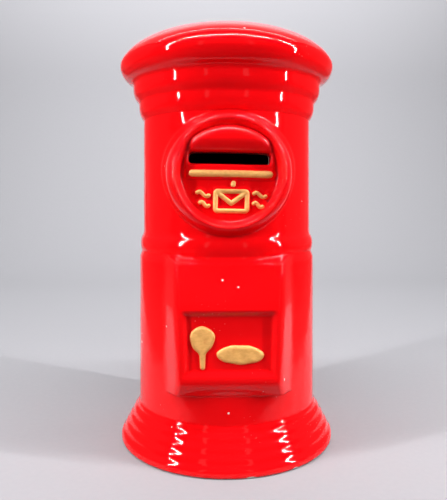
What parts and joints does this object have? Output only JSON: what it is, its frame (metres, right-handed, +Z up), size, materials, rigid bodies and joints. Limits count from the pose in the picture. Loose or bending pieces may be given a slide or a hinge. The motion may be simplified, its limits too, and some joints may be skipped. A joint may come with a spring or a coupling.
{
  "type": "ceramic post box money bank",
  "caption": "Hollow glazed ceramic coin bank in the shape of a round pillar post box, with a domed cap, a coin slot, a sloping collection box and a pull-out stopper in the base.",
  "frame": {"origin": "middle of the foot ring, on the surface that the bank stands on", "axes": "+Z up along the barrel's axis; the front, with the slot and the collection box, faces -Y; +X is to the right seen from the front"},
  "size_m": [0.0954, 0.0954, 0.1794],
  "materials": {
    "red_glaze": "high gloss transparent-coated red glaze over white clay",
    "gilt": "hand-brushed matt gold over raised clay",
    "soft_pvc": "matt milky soft plastic"
  },
  "bodies": {
    "bank": {"ceramic_body": "red_glaze", "slot_bar": "gilt", "bar_bead": "gilt", "envelope_mark": "gilt", "wave_marks_left": "gilt", "wave_marks_right": "gilt", "lock_disc": "gilt", "oval_plate": "gilt", "stopper_collar": "soft_pvc"},
    "stopper": {"stopper_plug": "soft_pvc"}
  },
  "joints": [
    {"name": "stopper_pull", "type": "slide", "parent": "bank", "child": "stopper", "axis": [0, 0, -1], "range_m": [0, 0.03]}
  ]
}
